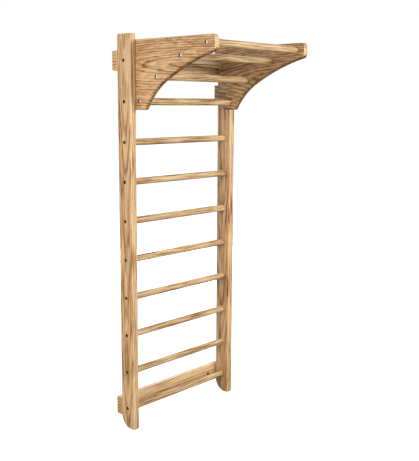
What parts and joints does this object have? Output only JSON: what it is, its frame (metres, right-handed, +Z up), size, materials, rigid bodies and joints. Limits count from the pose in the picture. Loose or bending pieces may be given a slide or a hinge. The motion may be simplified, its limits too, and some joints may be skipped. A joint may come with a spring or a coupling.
{
  "type": "wall bars with hook-on pull-up unit",
  "caption": "Wooden wall bars: two uprights with round rungs on two wall boards, with a hook-on pull-up unit of two curved brackets and round grips.",
  "frame": {"origin": "centre of the four wall fixings, on the wall plane", "axes": "+X to the right as seen from the room, +Y into the wall, +Z up"},
  "size_m": [0.84, 0.709, 2.191],
  "materials": {
    "upright_wood": "oiled softwood, warm tan, long dark grain lines",
    "board_wood": "oiled softwood, warm tan, long dark grain lines",
    "rung_wood": "turned and sanded wood, clear oil",
    "bracket_wood": "oiled softwood, rounded edges",
    "grip_wood": "turned and sanded wood, clear oil",
    "screw_steel": "bright zinc-plated steel"
  },
  "bodies": {
    "wall_frame": {"left_upright": "upright_wood", "right_upright": "upright_wood", "upper_wall_board": "board_wood", "lower_wall_board": "board_wood", "rung_01": "rung_wood", "rung_02": "rung_wood", "rung_03": "rung_wood", "rung_04": "rung_wood", "rung_05": "rung_wood", "rung_06": "rung_wood", "rung_07": "rung_wood", "rung_08": "rung_wood", "rung_09": "rung_wood", "rung_10": "rung_wood", "left_rung_screws": "screw_steel", "right_rung_screws": "screw_steel", "upper_board_screws": "screw_steel", "lower_board_screws": "screw_steel"},
    "pull_up_unit": {"left_bracket": "bracket_wood", "right_bracket": "bracket_wood", "grip_1": "grip_wood", "grip_2": "grip_wood", "grip_3": "grip_wood", "grip_4": "grip_wood", "left_grip_screws": "screw_steel", "right_grip_screws": "screw_steel"}
  },
  "joints": [
    {"name": "pull_up_unit_lift_off", "type": "slide", "parent": "wall_frame", "child": "pull_up_unit", "axis": [0, -0.7071, 0.7071], "range_m": [0, 0.2]}
  ]
}
